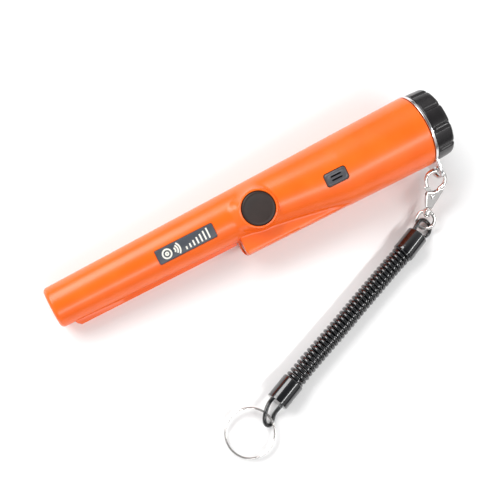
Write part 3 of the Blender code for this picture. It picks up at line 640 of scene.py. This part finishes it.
def boss_radius(x, c, s, centre):
    """Where the ray leaves the button's boss: a cone with a level rim, in the button's own frame."""
    turn = BUTTON_TILT
    # ray origin and direction in the button frame
    ox, oy, oz = x - BUTTON_POS[0], centre - BUTTON_POS[1], -BUTTON_POS[2]
    bx = ox * math.cos(turn) + oz * math.sin(turn)
    bz = -ox * math.sin(turn) + oz * math.cos(turn)
    dx = s * math.sin(turn)
    dz = s * math.cos(turn)
    dy = c
    slope = 0.08 + 0.9 * np.clip((BUTTON_POS[0] - 6 - x) / 5, 0, 1) * np.clip((s - 0.7) / 0.25, 0, 1)
    top = slab_exit(dz, -bz)
    # cone: sqrt(x^2 + y^2) = BOSS_RADIUS - slope * z, solved for the far crossing
    rim = BOSS_RADIUS - slope * bz
    a = dx**2 + dy**2 - (slope * dz) ** 2
    b = bx * dx + oy * dy + slope * rim * dz
    d = bx**2 + oy**2 - rim**2
    root = b**2 - a * d
    inside = d < 0
    safe = np.where(np.abs(a) < 1e-6, 1e-6, a)
    plus = (-b + np.sqrt(np.maximum(root, 0))) / safe
    minus = (-b - np.sqrt(np.maximum(root, 0))) / safe
    cone = np.where(plus > 0, plus, 1e3)
    cone = np.where((minus > 0) & (minus < cone), minus, cone)
    reach = soft_min(np.minimum(cone, 60.0), np.minimum(top, 60.0), 0.9)
    return np.where(inside & (s > 0), reach, 0)


def casing_rows():
    """X of the skin's rows, closer together at its edges."""
    nose = [NOSE_FILLET * (1 - math.cos(math.pi / 2 * i / 8)) for i in range(9)]
    fine = list(np.arange(NOSE_FILLET + 0.4, 12.0, 0.4)) + list(np.arange(12.0, 98.0, 1.0))
    front = [98.0, 99.4, 100.4, BLOCK_X - 0.02, BLOCK_X]
    edge = [BLOCK_X + 1.3 * (1 - math.cos(math.pi / 2 * i / 8)) for i in range(1, 9)]
    boss = list(np.arange(102.8, 132.0, 0.5))
    rear = list(np.arange(132.0, BODY_END_X - 1.2, 1.0))
    return np.array(nose + fine + front + edge + boss + rear)


def skin_radius(x, turn):
    """The casing's radius at x and at angle turn from +Y, about its section's centre."""
    c, s = np.cos(turn), np.sin(turn)
    base = RADIUS_OF(x)
    centre = back_line(x) - base
    radius = (base - nose_drop(x)) + 0 * c
    blend = 3.0 + 1.5 * np.clip((BUTTON_POS[0] + 2 - x) / 12, 0, 1)
    radius = soft_max(radius, boss_radius(x, c, s, centre), blend)
    radius = soft_max(radius, keel_radius(x, c, s, centre), 0.7)
    radius = soft_max(radius, blade_radius(x, c, s, centre), 0.35)
    return radius, centre


def on_nose(u, v, height):
    """Point of the nose's skin at x = u and at arc distance v from the label's middle line."""
    radius = body_radius(u)
    turn = v / radius
    reach = radius + height
    return (u, back_line(u) - radius - 0.4 + reach * math.sin(turn), reach * math.cos(turn))


def label_patch(margin, low, high, edge=0.0, corner=0.9):
    """A rounded patch of the nose's skin from low to high of it."""
    middle = sum(LABEL_X) / 2
    half_u = (LABEL_X[1] - LABEL_X[0]) / 2 + margin
    half_v = LABEL_HALF_ANGLE * body_radius(middle) + margin
    levels = [
        (1.0, 0.0, low), (1.0, 0.0, high - edge), (1.0, edge * 0.3, high - edge * 0.3), (1.0, edge, high)
    ]
    levels += [(share, edge, high) for share in (0.92, 0.8, 0.65, 0.5, 0.35, 0.2, 0.08)]
    below = [(share, 0.0, low) for share in (0.08, 0.3, 0.55, 0.8)]
    outlines = []
    for share, inset, height in below + levels:
        box = rounded_box(half_u - inset, half_v - inset, corner)
        outlines.append([on_nose(middle + u * share, v * share, height) for u, v in box])
    return loft(outlines)


IN_BUTTON = shift(*BUTTON_POS) @ Matrix.Rotation(-BUTTON_TILT, 4, "Y")
IN_SPEAKER = shift(*SPEAKER_POS) @ Matrix.Rotation(-SPEAKER_TILT, 4, "Y")


def casing_outside(turn):
    """Rings of the outer skin and of its rounded rear edge."""
    x = casing_rows()[:, None]
    radius, centre = skin_radius(x, turn)
    rings = np.stack([x + 0 * turn, centre + radius * np.cos(turn), radius * np.sin(turn)], axis=-1)
    middle = np.array([0, centre[0, 0], 0])
    face = rings[0] - middle
    front = np.stack([middle + face * share for share in (0.0, 0.5, 0.92)])
    return np.concatenate([front, rings])


def casing_inside(turn):
    """Rings from the rear edge over the neck, down its bore and through the cavity to the nose."""
    bend = [
        (BODY_END_X - 0.8 * (1 - math.sin(a)), 0.8 * (1 - math.cos(a))) for a in np.linspace(0, 1.57, 6)
    ]
    turned = [(x, back_line(x) - drop) for x, drop in bend]
    turned += [
        (BODY_END_X, NECK_RADIUS), (NECK_END_X - 0.3, NECK_RADIUS), (NECK_END_X, NECK_RADIUS - 0.3)
    ]
    turned += [(NECK_END_X, NECK_BORE + 0.2), (NECK_END_X - 0.2, NECK_BORE), (209.5, NECK_BORE)]
    rows = [(x, radius, 0.0) for x, radius in turned]
    for x in (
        206.0, 190.0, 175.0, FLARE_END_X, 150.0, 138.0, 126.0, 113.0, BLOCK_X, 80.0, 50.0, 20.0, 2.6
    ):
        rows.append((x, body_radius(x) - WALL, back_line(x) - body_radius(x)))
    rows.append((2.6, 0.0, back_line(2.6) - body_radius(2.6)))
    circle = np.stack([0 * turn[0], np.cos(turn[0]), np.sin(turn[0])], axis=-1)
    return np.stack([circle * radius + [x, centre, 0] for x, radius, centre in rows])


def casing_skin():
    """The moulded casing with its neck, button pocket, speaker window, label recess and lamp seat."""
    sides = 288
    turn = (TURN * np.arange(sides) / sides)[None, :]
    points = np.concatenate([casing_outside(turn), casing_inside(turn)])
    shell = points.reshape(-1, 3), grid_faces(len(points), sides)
    pocket_radius = BUTTON_RADIUS + 0.3
    pocket = [(0, BUTTON_FLOOR), (pocket_radius, BUTTON_FLOOR), (pocket_radius, -0.45)]
    pocket += [(pocket_radius + 0.12, -0.12), (pocket_radius + 0.45, 0.1), (pocket_radius + 1.6, 0.35)]
    pocket += [(pocket_radius + 1.6, 3.0), (0, 3.0)]
    stem = [(0, -6.0), (3.0, -6.0), (3.0, 2.5), (0, 2.5)]
    half_x, half_y = SPEAKER_SIZE[0] / 2 + 0.3, SPEAKER_SIZE[1] / 2 + 0.3
    window = loft([[(x, y, z) for x, y in rounded_box(half_x, half_y, 1.6)] for z in (-5.5, 4.0)])
    lamp = [
        (0, 107.0), (2.75, 107.0), (2.75, 102.6), (4.1, 102.6), (4.1, 101.4), (4.4, 101.0), (4.4, 99.0),
        (0, 99.0)
    ]
    holes = (
        moved(lathe(pocket, 96), IN_BUTTON),
        moved(lathe(stem, 48), IN_BUTTON),
        moved(window, IN_SPEAKER),
        label_patch(0.3, -0.5, 1.5),
        moved(lathe(lamp, 64), shift(0, LAMP_Y, 0) @ ALONG_X),
    )
    piece(
        "casing", carved(shell, *holes), "orange_abs", "housing", PROBE_FRAME, ("body_shell",), sharp=32
    )


def thread(wall, crest, start):
    """A right-hand ridge of trapezoid section about X."""
    root = wall + math.copysign(0.35, wall - crest)
    section = [(root, 0.7), (crest, 0.3), (crest, -0.3), (root, -0.7)]
    rings = []
    for a in np.linspace(0, TURN * THREAD_TURNS, 121):
        x = start + PITCH * a / TURN
        rings.append([(x + h, r * math.sin(a), -r * math.cos(a)) for r, h in section])
    return loft(rings)


def label():
    piece(
        "label", label_patch(0.0, -0.25, 0.12, edge=0.1, corner=0.7), "label_grey", "housing",
        PROBE_FRAME, ("label_plate",)
    )


def arc_line(u, v, radius, first, last):
    turns = np.radians(np.linspace(first, last, 24))
    return [(u + radius * math.cos(a), v + radius * math.sin(a)) for a in turns]


def label_marks():
    """White print: a target, three spreading waves and a row of level bars."""
    lines = [arc_line(63.3, 0, 2.3, 0, 360), arc_line(63.3, 0, 0.7, 0, 360)]
    lines += [arc_line(66.2, 0, radius, -42, 42) for radius in (1.7, 3.0, 4.3)]
    for i in range(7):
        reach = 0.8 + 0.32 * i
        lines.append([(73.6 + 2.15 * i, v) for v in np.linspace(-2.6, -2.6 + 2 * reach, 12)])
    strips = []
    for line in lines:
        line = np.array(line)
        along = np.gradient(line, axis=0)
        along /= np.linalg.norm(along, axis=1)[:, None]
        side = np.stack([-along[:, 1], along[:, 0]], axis=1) * 0.42
        section = ((-1, 0.1), (1, 0.1), (1, 0.17), (-1, 0.17))
        strips.append(loft([[on_nose(*(p + n * s), h) for s, h in section] for p, n in zip(line, side)]))
    points, faces = [], []
    for some, sides in strips:
        faces += [[len(points) + v for v in face] for face in sides]
        points += some
    piece("label_marks", (points, faces), "former", "housing", PROBE_FRAME)


def speaker_grille():
    half_x, half_y = SPEAKER_SIZE[0] / 2, SPEAKER_SIZE[1] / 2
    levels = [
        (0, -2.4), (0, 0.0), (0.1, 0.3), (0.4, 0.6), (0.9, 0.84), (1.25, 0.9), (1.5, 0.78), (1.9, 0.72)
    ]
    outlines = [
        [(x, y, z) for x, y in rounded_box(half_x - inset, half_y - inset, 1.45)] for inset, z in levels
    ]
    slots = []
    for side in (-1, 1):
        sizes = ((2.9, 0.36, -4.0), (2.9, 0.36, 0.45), (3.1, 0.55, 0.8), (3.1, 0.55, 3.0))
        slots.append(
            loft(
                [
                    [(x, side * 1.0 + y, z) for x, y in rounded_box(a, b, min(a, b) * 0.95)]
                    for a, b, z in sizes
                ]
            )
        )
    grille = carved(loft(outlines), *slots)
    piece("grille", grille, "grille_grey", "housing", SPEAKER_FRAME, ("speaker_grille",), sharp=35)


def lamp_lens():
    dome = [
        (0, 101.35), (1.5, 101.4), (2.8, 101.55), (3.5, 101.75), (3.8, 102.0), (3.8, 102.35), (0, 102.35)
    ]
    piece(
        "lens", lathe(dome, 64), "clear_lens", "housing", PROBE_FRAME @ at(0, LAMP_Y, 0) @ ALONG_X,
        ("led_lens",)
    )
    bulb = [
        (0, 111.0), (2.9, 111.0), (2.9, 110.0), (2.5, 109.9), (2.5, 105.3), (2.3, 104.3), (1.8, 103.4),
        (1.0, 102.9)
    ]
    bulb += [(0, 102.75)]
    piece(
        "lamp", lathe(bulb, 48), "led_epoxy", "housing", PROBE_FRAME @ at(0, LAMP_Y, 0) @ ALONG_X,
        ("led_lamp",)
    )


def button():
    """The button, its top a little dished inside a raised ring."""
    edge, groove = BUTTON_RADIUS, BUTTON_RADIUS - 1.1
    profile = [
        (0, 0.26), (3.0, 0.28), (5.6, 0.36), (6.9, 0.46), (7.2, 0.5), (7.55, 0.5), (8.1, 0.44),
        (8.5, 0.25)
    ]
    profile += [
        (8.7, 0.0), (edge, -0.15), (edge, -0.3), (groove, -0.3), (groove, -1.7), (edge, -1.7),
        (edge, -2.0)
    ]
    profile += [(2.0, -2.0), (2.0, -6.4), (1.9, -6.5), (0, -6.5)]
    piece("button", lathe(profile, 128), "button_black", "button", BUTTON_FRAME, ("power_button",))


def cap():
    """Screw cap with broad lands between narrow finger grooves."""
    front, rear = CAP_X
    outer = [
        (front, CAP_BORE), (front, CAP_RADIUS - 0.5), (front + 0.15, CAP_RADIUS - 0.15),
        (front + 0.5, CAP_RADIUS)
    ]
    outer += [
        (x, CAP_RADIUS - 0.4 * (x - front - 0.5) / 8.7)
        for x in (217.0, 217.6, 218.4, 220, 222, 224, 225.3)
    ]
    outer += [
        (225.8, 19.05), (226.3, 18.75), (226.7, 18.2), (rear, 17.4), (rear, 16.4), (226.6, 15.9),
        (226.5, 10)
    ]
    outer += [(226.5, 0.0), (224.0, 0.0), (224.0, CAP_BORE - 0.2), (223.8, CAP_BORE)]
    sides = 720
    turn = TURN * np.arange(sides) / sides
    offset = (turn - CAP_GROOVE_PHASE) / (TURN / CAP_GROOVES)
    distance = np.abs(offset - np.round(offset)) * (TURN / CAP_GROOVES) * CAP_RADIUS
    share = np.clip((2.0 - distance) / 1.7, 0, 1)
    depth = 0.85 * share * share * (3 - 2 * share)
    rings = []
    for x, radius in outer:
        here = depth * np.clip((x - front - 0.5) / 0.9, 0, 1) if 17.3 < radius and x > front else 0 * depth
        reach = radius - here
        rings.append(np.stack([x + 0 * reach, -reach * np.sin(turn), reach * np.cos(turn)], axis=-1))
    solid = np.concatenate(rings), grid_faces(len(outer), sides, True)
    piece("cap", solid, "black_abs", "cap", PROBE_FRAME, ("battery_cap",), sharp=45)
    piece(
        "cap_ridge", thread(CAP_BORE, CAP_CREST, THREAD_START_X + PITCH / 2), "black_abs", "cap",
        PROBE_FRAME
    )


def collar():
    """Thin plate ring with the tab that the clasp hooks into."""
    meet = math.asin(8.0 / COLLAR_RADIUS)
    rim = [
        (COLLAR_RADIUS * math.cos(a), COLLAR_RADIUS * math.sin(a))
        for a in np.linspace(meet, TURN - meet, 181)
    ]
    corners = [
        rim[-1], (24.0, -7.0), (26.6, -5.8), (28.2, -3.4), (28.7, 0.0), (28.2, 3.4), (26.6, 5.8),
        (24.0, 7.0), rim[0]
    ]
    tab = [tuple(p)[:2] for p in smooth_route([(x, y, 0) for x, y in corners], 0.6)][1:-1]
    half = (COLLAR_X[1] - COLLAR_X[0]) / 2
    stand = shift(sum(COLLAR_X) / 2) @ ALONG_X @ Matrix.Rotation(-math.pi / 2 - TAB_ANGLE, 4, "Z")
    bore = lathe([(0, -2), (18.1, -2), (18.1, 2), (0, 2)], 180)
    flare = [(0, -2), (TAB_HOLE_RADIUS + 1.6, -2), (TAB_HOLE_RADIUS, -0.35), (TAB_HOLE_RADIUS, 0.35)]
    flare += [(TAB_HOLE_RADIUS + 1.6, 2), (0, 2)]
    hole = moved(lathe(flare, 64), shift(TAB_HOLE_DISTANCE))
    plate = moved(carved(slab(rim + tab, half, 0.2), bore, hole), stand)
    piece("collar", plate, "steel", "housing", PROBE_FRAME, ("lanyard_collar",), sharp=30)


# ---------------------------------------------------------------- clasp


def on_hook(degrees):
    turn = math.radians(degrees)
    return (HOOK_RADIUS * math.cos(turn), -HOOK_RADIUS + HOOK_RADIUS * math.sin(turn), 0)


def about_pin(radius):
    x, y = GATE_PIVOT
    return [
        (x + radius * math.cos(a), y + radius * math.sin(a))
        for a in (math.radians(100 + 4 * i) for i in range(11))
    ]


LYING = Matrix.Rotation(math.pi / 2, 4, "X")  # turns Z into -Y
PIN_HOLE = moved(lathe([(0, -3), (0.9, -3), (0.9, 3), (0, 3)], 32), shift(*GATE_PIVOT))


def even_outline(points, step=0.4):
    """A closed outline of straight sides cut into short steps."""
    out = []
    for one, two in zip(points, points[1:] + points[:1]):
        one, two = np.array(one, float), np.array(two, float)
        count = max(1, round(np.linalg.norm(two - one) / step))
        out += [tuple(one + (two - one) * i / count) for i in range(count)]
    return out


def clasp_body():
    """Cast hook, body and swivel post in one, with the gate's slot cut out."""
    outline = [
        (5.2, -8.6), (5.4, -10.2), (4.3, -14.0), (2.5, -19.0), (1.9, -21.3), (-1.9, -21.3),
        (-2.7, -19.0), (-3.6, -14.2), (-3.3, -12.1), (0.4, -11.6), (2.2, -10.4), (3.0, -9.0),
    ]
    arc = [(2.6, -11.6, 0), (3.1, -10.4, 0)] + [on_hook(-50 + 218 * i / 80) for i in range(81)]
    post = [(0, 26.4), (1.3, 26.4), (1.9, 25.9), (1.9, 25.4), (1.1, 25.4), (1.1, 20.5), (0, 20.5)]
    solids = (
        slab(even_outline(outline), 1.45, 0.6),
        bar(arc, 1.25, 28, rounding=0.4),
        moved(lathe([(r, z) for r, z in reversed(post)], 32), LYING),
    )
    slot = [
        (-6.0, -11.0), (2.4, -11.0), (2.9, -14.4), (1.8, -16.3), (0.0, -16.9), (-2.0, -15.6),
        (-6.0, -13.0)
    ]
    nose = about_pin(NOSE_REACH) + [(-9.0, -9.0), (-2.4, -7.0)]
    made = cast(solids, (slab(slot, 0.8), slab(nose, 3.0), PIN_HOLE), 0.12, 5)
    piece("clasp_body", made, "chrome", "clasp", CLASP_FRAME, ("clasp_hook",), sharp=60)


def gate():
    """The gate's round arm and flat tongue, and the pin that it turns on."""
    x, y = GATE_PIVOT
    arm = [on_hook(a) for a in range(146, 202, 4)] + [(-4.3, -8.6, 0), (-3.7, -9.9, 0)]
    eye = [
        (x + 1.9 * math.cos(a), y + 1.9 * math.sin(a))
        for a in (math.radians(-120 + 12 * i) for i in range(21))
    ]
    outline = [*eye, (-2.2, -9.4), (-4.0, -8.2), (-4.9, -9.2), (-5.4, -10.4), (-4.6, -11.4)]
    tip = about_pin(NOSE_REACH - 0.3) + [(-12.0, -3.0), (-3.0, 4.0)]
    solids = (bar(arm, 1.1, 28, rounding=0.3), slab(even_outline(outline), 0.52, 0.15))
    made = cast(solids, (slab(tip, 3.0), PIN_HOLE), 0.11, 3)
    piece("gate", moved(made, shift(-x, -y)), "chrome", "gate", GATE_FRAME, ("clasp_gate",), sharp=60)
    rivet = [
        (0, -2.15), (0.5, -2.12), (1.0, -1.95), (1.3, -1.65), (0.8, -1.6), (0.8, 1.6), (1.3, 1.65),
        (1.0, 1.95)
    ]
    rivet += [(0.5, 2.12), (0, 2.15)]
    piece("pin", lathe(rivet, 32), "chrome", "gate", GATE_FRAME, ("gate_pin",))


def eye():
    """Ring and boss that turn on the clasp's post."""
    around = [
        (EYE_RADIUS * math.sin(a), EYE_CENTRE_Y + EYE_RADIUS * math.cos(a), 0)
        for a in TURN * np.arange(96) / 96
    ]
    boss = moved(lathe(rounded([(0, 22.1), (2.6, 22.1), (2.6, 24.9), (0, 24.9)], 0.4), 48), LYING)
    bore = moved(lathe([(0, 20.0), (1.45, 20.0), (1.45, 27.0), (0, 27.0)], 32), LYING)
    made = cast((bar(around, 1.0, 24, closed=True), boss), (bore,), 0.12, 4)
    piece("eye", made, "chrome", "eye", EYE_FRAME, ("swivel_eye",), sharp=60)


# ---------------------------------------------------------------- cord


def coil_path(steps=44):
    """Centreline of the coiled cord, in mm on the floor."""
    first, second = Vector(COIL_ROUTE[0]), Vector(COIL_ROUTE[1])
    last, before = Vector(COIL_ROUTE[-1]), Vector(COIL_ROUTE[-2])
    ends = (first - (second - first).normalized() * 1.2, last + (last - before).normalized() * 1.2)
    middle = np.array([tuple(p) for p in smooth_route((ends[0], *COIL_ROUTE, ends[1]), 0.5)])
    run = np.concatenate([[0], np.cumsum(np.linalg.norm(np.diff(middle, axis=0), axis=1))])
    spots = np.linspace(0, run[-1], COIL_TURNS * steps + 1)
    line = np.stack([np.interp(spots, run, middle[:, i]) for i in range(3)], axis=1)
    along = np.gradient(line, axis=0)
    along /= np.linalg.norm(along, axis=1)[:, None]
    side = np.cross(along, (0, 0, 1))
    side /= np.linalg.norm(side, axis=1)[:, None]
    up = np.cross(side, along)
    turn = TURN * COIL_TURNS * np.linspace(0, 1, len(line))[:, None]
    return line + (side * np.cos(turn) + up * np.sin(turn)) * (COIL_RADIUS - CORD_RADIUS)


def ferrule(name, ends, replaced):
    """Moulded sleeve, from its loop's side to the coil's."""
    top, bottom = (Vector(p) for p in ends)
    axis = bottom - top
    length = axis.length
    r = FERRULE_RADIUS
    profile = [(0, 0), (r - 0.9, 0), (r - 0.45, 0.08), (r - 0.12, 0.4), (r, 0.95), (r, length - 1.9)]
    profile += [(r - 0.12, length - 1.8), (r - 0.12, length - 1.5), (r, length - 1.4), (r, length - 0.4)]
    profile += [(r - 0.12, length - 0.1), (r - 0.4, length), (0, length)]
    stand = FLOOR_FRAME @ at(*top) @ axis.to_track_quat("Z", "Y").to_matrix().to_4x4()
    return piece(name, lathe(profile, 96), "cord_black", "lanyard", stand, (replaced,))


def cord():
    centreline = coil_path()
    coil = piece(
        "coil", bar(centreline, CORD_RADIUS, 14), "cord_black", "lanyard", FLOOR_FRAME, ("curly_cord",),
        60
    )
    riding = [
        ferrule("upper_sleeve", UPPER_FERRULE, "upper_ferrule"),
        ferrule("lower_sleeve", LOWER_FERRULE, "lower_ferrule"),
    ]
    for name, points, replaced in (
        ("upper_cord_loop", UPPER_LOOP, "upper_loop"),
        ("lower_cord_loop", LOWER_LOOP, "lower_loop"),
    ):
        loop = bar(smooth_route(points, 0.35), CORD_RADIUS, 24)
        riding.append(piece(name, loop, "cord_black", "lanyard", FLOOR_FRAME, (replaced,), 60))
    riding.append(ring())


def ring():
    """Split ring: nearly two turns of wire."""
    turns = np.linspace(0, RING_TURNS, 260)
    route = []
    for t in turns:
        turn = math.radians(150) + TURN * t
        route.append(
            (
                RING_RADIUS * (math.cos(turn) - 1), RING_RADIUS * math.sin(turn),
                RING_PITCH * (t - RING_TURNS / 2)
            )
        )
    stand = FLOOR_FRAME @ at(*RING_HINGE) @ Matrix.Rotation(RING_DIRECTION, 4, "Z") @ Matrix.Rotation(
        -RING_TILT, 4, "Y"
    )
    return piece(
        "split_ring", bar(route, RING_WIRE, 20, rounding=0.15), "chrome", "ring", stand, ("key_ring",), 60
    )


casing_skin()
piece("neck_ridge", thread(NECK_RADIUS, NECK_CREST, THREAD_START_X), "orange_abs", "housing", PROBE_FRAME)
label()
label_marks()
speaker_grille()
lamp_lens()
button()
cap()
collar()
clasp_body()
gate()
eye()
cord()

bpy.context.view_layer.update()

# ---------------------------------------------------------------- camera, floor and light


def add_camera():
    data = bpy.data.cameras.new("camera")
    data.lens = CAMERA_LENS
    data.sensor_width = 36.0
    data.clip_start = 0.01
    camera = bpy.data.objects.new("camera", data)
    camera.location = CAMERA_AT
    camera.rotation_euler = [math.radians(v) for v in CAMERA_TURN]
    bpy.context.scene.collection.objects.link(camera)
    bpy.context.scene.camera = camera


def add_floor():
    mesh = bpy.data.meshes.new("floor")
    bm = bmesh.new()
    bmesh.ops.create_grid(bm, x_segments=1, y_segments=1, size=3.0)
    bm.to_mesh(mesh)
    bm.free()
    floor = bpy.data.objects.new("floor", mesh)
    bpy.context.scene.collection.objects.link(floor)
    look = material("floor_look", (0.93, 0.93, 0.93), (0.95, 0.95, 0.95), 0.7, 0.05, 60, 0.0)
    mesh.materials.append(look)


def area_light(name, location, target, size, power, colour=(1, 1, 1), size_y=None):
    data = bpy.data.lights.new(name, "AREA")
    data.energy = power
    data.color = colour
    data.shape = "RECTANGLE" if size_y else "SQUARE"
    data.size = size
    if size_y:
        data.size_y = size_y
    light = bpy.data.objects.new(name, data)
    light.location = location
    direction = Vector(target) - Vector(location)
    light.rotation_euler = direction.to_track_quat("-Z", "Y").to_euler()
    bpy.context.scene.collection.objects.link(light)
    return light


def add_world():
    """A studio that is palest part way up, dimmer overhead and dark along the horizon."""
    world = bpy.data.worlds.new("world")
    bpy.context.scene.world = world
    world.use_nodes = True
    tree = world.node_tree
    coords = tree.nodes.new("ShaderNodeTexCoord")
    split = tree.nodes.new("ShaderNodeSeparateXYZ")
    tree.links.new(coords.outputs["Generated"], split.inputs["Vector"])
    ramp = tree.nodes.new("ShaderNodeValToRGB")
    tree.links.new(split.outputs["Z"], ramp.inputs["Fac"])
    marks = ramp.color_ramp.elements
    while len(marks) < len(WORLD_LEVELS):
        marks.new(0.5)
    for mark, (height, level) in zip(marks, WORLD_LEVELS):
        mark.position = height
        mark.color = (level, level, level, 1)
    background = tree.nodes["Background"]
    tree.links.new(ramp.outputs["Color"], background.inputs["Color"])
    background.inputs["Strength"].default_value = 1.0


def add_lights():
    area_light("key", (-0.36, 0.72, 0.74), (0, 0, 0), 1.0, KEY_WATTS, size_y=0.6)
    area_light("strip", (0.2, -0.5, 0.69), (0.03, 0, 0), 1.3, STRIP_WATTS, size_y=0.075)


add_world()
bpy.context.scene.view_settings.view_transform = "Standard"
add_camera()
add_floor()
add_lights()


def dress_frame():
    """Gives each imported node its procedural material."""
    slots = {part["node"]: part["material_slot"] for part in frame["record"]["subparts"]}
    for name, obj in frame["nodes"].items():
        for index in range(max(1, len(obj.material_slots))):
            if not obj.material_slots:
                obj.data.materials.append(LOOKS[slots[name]])
            else:
                obj.material_slots[index].material = LOOKS[slots[name]]


dress_frame()
